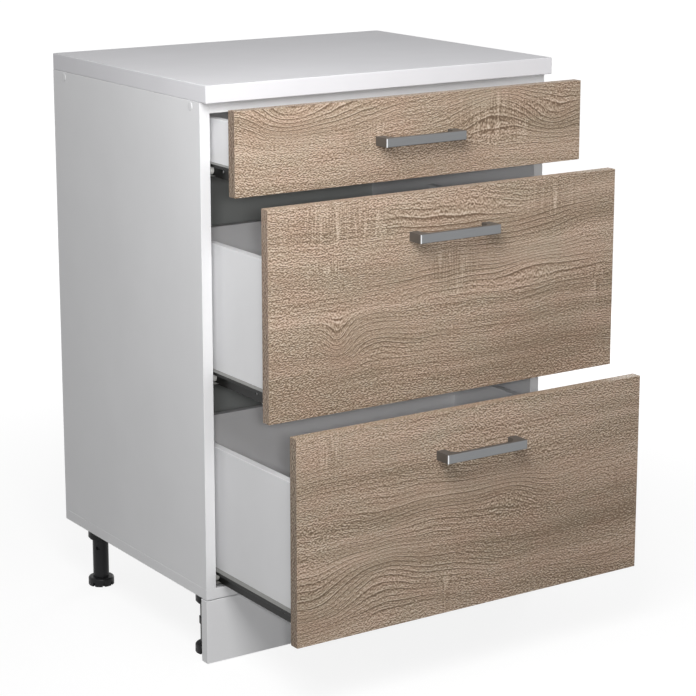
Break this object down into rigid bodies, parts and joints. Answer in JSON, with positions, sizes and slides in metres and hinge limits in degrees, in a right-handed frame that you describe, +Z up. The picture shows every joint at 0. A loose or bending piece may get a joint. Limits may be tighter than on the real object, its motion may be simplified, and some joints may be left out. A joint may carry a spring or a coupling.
{
  "type": "kitchen base cabinet with drawers",
  "caption": "Base cabinet on adjustable legs with a worktop, a plinth board and stacked pull-out drawers with bar handles, running on steel roller runners.",
  "frame": {"origin": "on the floor, below the middle of the whole object with its drawers partly open as stored", "axes": "+Z up, the drawer fronts face -Y, +X towards the right side seen from the front"},
  "size_m": [0.602, 0.716, 0.8425],
  "materials": {
    "white_board": "melamine coated board, satin",
    "white_worktop": "laminated board, fine satin",
    "back_board": "thin lacquered fibreboard, matt",
    "oak_front": "rough-sawn light oak decor, matt",
    "runner_steel": "dark grey coated sheet steel",
    "handle_metal": "satin metal",
    "screw_metal": "zinc plated",
    "roller_plastic": "moulded nylon",
    "black_plastic": "moulded, matt",
    "cap_plastic": "moulded, satin",
    "dowel_wood": "plain beech"
  },
  "bodies": {
    "carcass": {"worktop": "white_worktop", "left_side_panel": "white_board", "right_side_panel": "white_board", "bottom_panel": "white_board", "back_panel": "back_board", "front_top_rail": "white_board", "rear_top_rail": "white_board", "carcass_screws": "screw_metal", "carcass_dowels": "dowel_wood", "worktop_screws": "screw_metal", "cover_caps": "cap_plastic", "leg_sockets": "black_plastic", "leg_screws": "screw_metal", "plinth_board": "white_board", "plinth_clips": "black_plastic", "top_left_cabinet_rail": "runner_steel", "top_right_cabinet_rail": "runner_steel", "middle_left_cabinet_rail": "runner_steel", "middle_right_cabinet_rail": "runner_steel", "bottom_left_cabinet_rail": "runner_steel", "bottom_right_cabinet_rail": "runner_steel", "cabinet_rail_screws": "screw_metal"},
    "top_drawer": {"top_drawer_front": "oak_front", "top_drawer_left_side": "white_board", "top_drawer_right_side": "white_board", "top_drawer_back": "white_board", "top_drawer_base": "white_board", "top_drawer_left_rail": "runner_steel", "top_drawer_right_rail": "runner_steel", "top_drawer_handle": "handle_metal", "top_drawer_fixings": "screw_metal"},
    "top_front_rollers": {"top_front_rollers": "roller_plastic"},
    "top_rear_rollers": {"top_drawer_rear_rollers": "roller_plastic"},
    "middle_drawer": {"middle_drawer_front": "oak_front", "middle_drawer_left_side": "white_board", "middle_drawer_right_side": "white_board", "middle_drawer_back": "white_board", "middle_drawer_base": "white_board", "middle_drawer_left_rail": "runner_steel", "middle_drawer_right_rail": "runner_steel", "middle_drawer_handle": "handle_metal", "middle_drawer_fixings": "screw_metal"},
    "middle_front_rollers": {"middle_front_rollers": "roller_plastic"},
    "middle_rear_rollers": {"middle_drawer_rear_rollers": "roller_plastic"},
    "bottom_drawer": {"bottom_drawer_front": "oak_front", "bottom_drawer_left_side": "white_board", "bottom_drawer_right_side": "white_board", "bottom_drawer_back": "white_board", "bottom_drawer_base": "white_board", "bottom_drawer_left_rail": "runner_steel", "bottom_drawer_right_rail": "runner_steel", "bottom_drawer_handle": "handle_metal", "bottom_drawer_fixings": "screw_metal"},
    "bottom_front_rollers": {"bottom_front_rollers": "roller_plastic"},
    "bottom_rear_rollers": {"bottom_drawer_rear_rollers": "roller_plastic"},
    "front_left_foot": {"front_left_foot": "black_plastic"},
    "front_right_foot": {"front_right_foot": "black_plastic"},
    "rear_left_foot": {"rear_left_foot": "black_plastic"},
    "rear_right_foot": {"rear_right_foot": "black_plastic"}
  },
  "joints": [
    {"name": "top_drawer_slide", "type": "slide", "parent": "carcass", "child": "top_drawer", "axis": [0, -1, 0], "range_m": [-0.072, 0.228]},
    {"name": "top_front_rollers_spin", "type": "hinge", "parent": "carcass", "child": "top_front_rollers", "pos_m": [0, -0.074, 0.72155], "axis": [1, 0, 0], "continuous": true},
    {"name": "top_rear_rollers_spin", "type": "hinge", "parent": "top_drawer", "child": "top_rear_rollers", "pos_m": [0, 0.223, 0.72155], "axis": [1, 0, 0], "continuous": true},
    {"name": "middle_drawer_slide", "type": "slide", "parent": "carcass", "child": "middle_drawer", "axis": [0, -1, 0], "range_m": [-0.155, 0.145]},
    {"name": "middle_front_rollers_spin", "type": "hinge", "parent": "carcass", "child": "middle_front_rollers", "pos_m": [0, -0.074, 0.42455], "axis": [1, 0, 0], "continuous": true},
    {"name": "middle_rear_rollers_spin", "type": "hinge", "parent": "middle_drawer", "child": "middle_rear_rollers", "pos_m": [0, 0.14, 0.42455], "axis": [1, 0, 0], "continuous": true},
    {"name": "bottom_drawer_slide", "type": "slide", "parent": "carcass", "child": "bottom_drawer", "axis": [0, -1, 0], "range_m": [-0.223, 0.077]},
    {"name": "bottom_front_rollers_spin", "type": "hinge", "parent": "carcass", "child": "bottom_front_rollers", "pos_m": [0, -0.074, 0.12755], "axis": [1, 0, 0], "continuous": true},
    {"name": "bottom_rear_rollers_spin", "type": "hinge", "parent": "bottom_drawer", "child": "bottom_rear_rollers", "pos_m": [0, 0.072, 0.12755], "axis": [1, 0, 0], "continuous": true},
    {"name": "front_left_foot_height", "type": "slide", "parent": "carcass", "child": "front_left_foot", "axis": [0, 0, -1], "range_m": [0, 0.02]},
    {"name": "front_right_foot_height", "type": "slide", "parent": "carcass", "child": "front_right_foot", "axis": [0, 0, -1], "range_m": [0, 0.02]},
    {"name": "rear_left_foot_height", "type": "slide", "parent": "carcass", "child": "rear_left_foot", "axis": [0, 0, -1], "range_m": [0, 0.02]},
    {"name": "rear_right_foot_height", "type": "slide", "parent": "carcass", "child": "rear_right_foot", "axis": [0, 0, -1], "range_m": [0, 0.02]}
  ],
  "couplings": [
    {"joint": "top_front_rollers_spin", "follows": "top_drawer_slide", "rad_per_m": 125},
    {"joint": "top_rear_rollers_spin", "follows": "top_drawer_slide", "rad_per_m": 125},
    {"joint": "middle_front_rollers_spin", "follows": "middle_drawer_slide", "rad_per_m": 125},
    {"joint": "middle_rear_rollers_spin", "follows": "middle_drawer_slide", "rad_per_m": 125},
    {"joint": "bottom_front_rollers_spin", "follows": "bottom_drawer_slide", "rad_per_m": 125},
    {"joint": "bottom_rear_rollers_spin", "follows": "bottom_drawer_slide", "rad_per_m": 125}
  ]
}
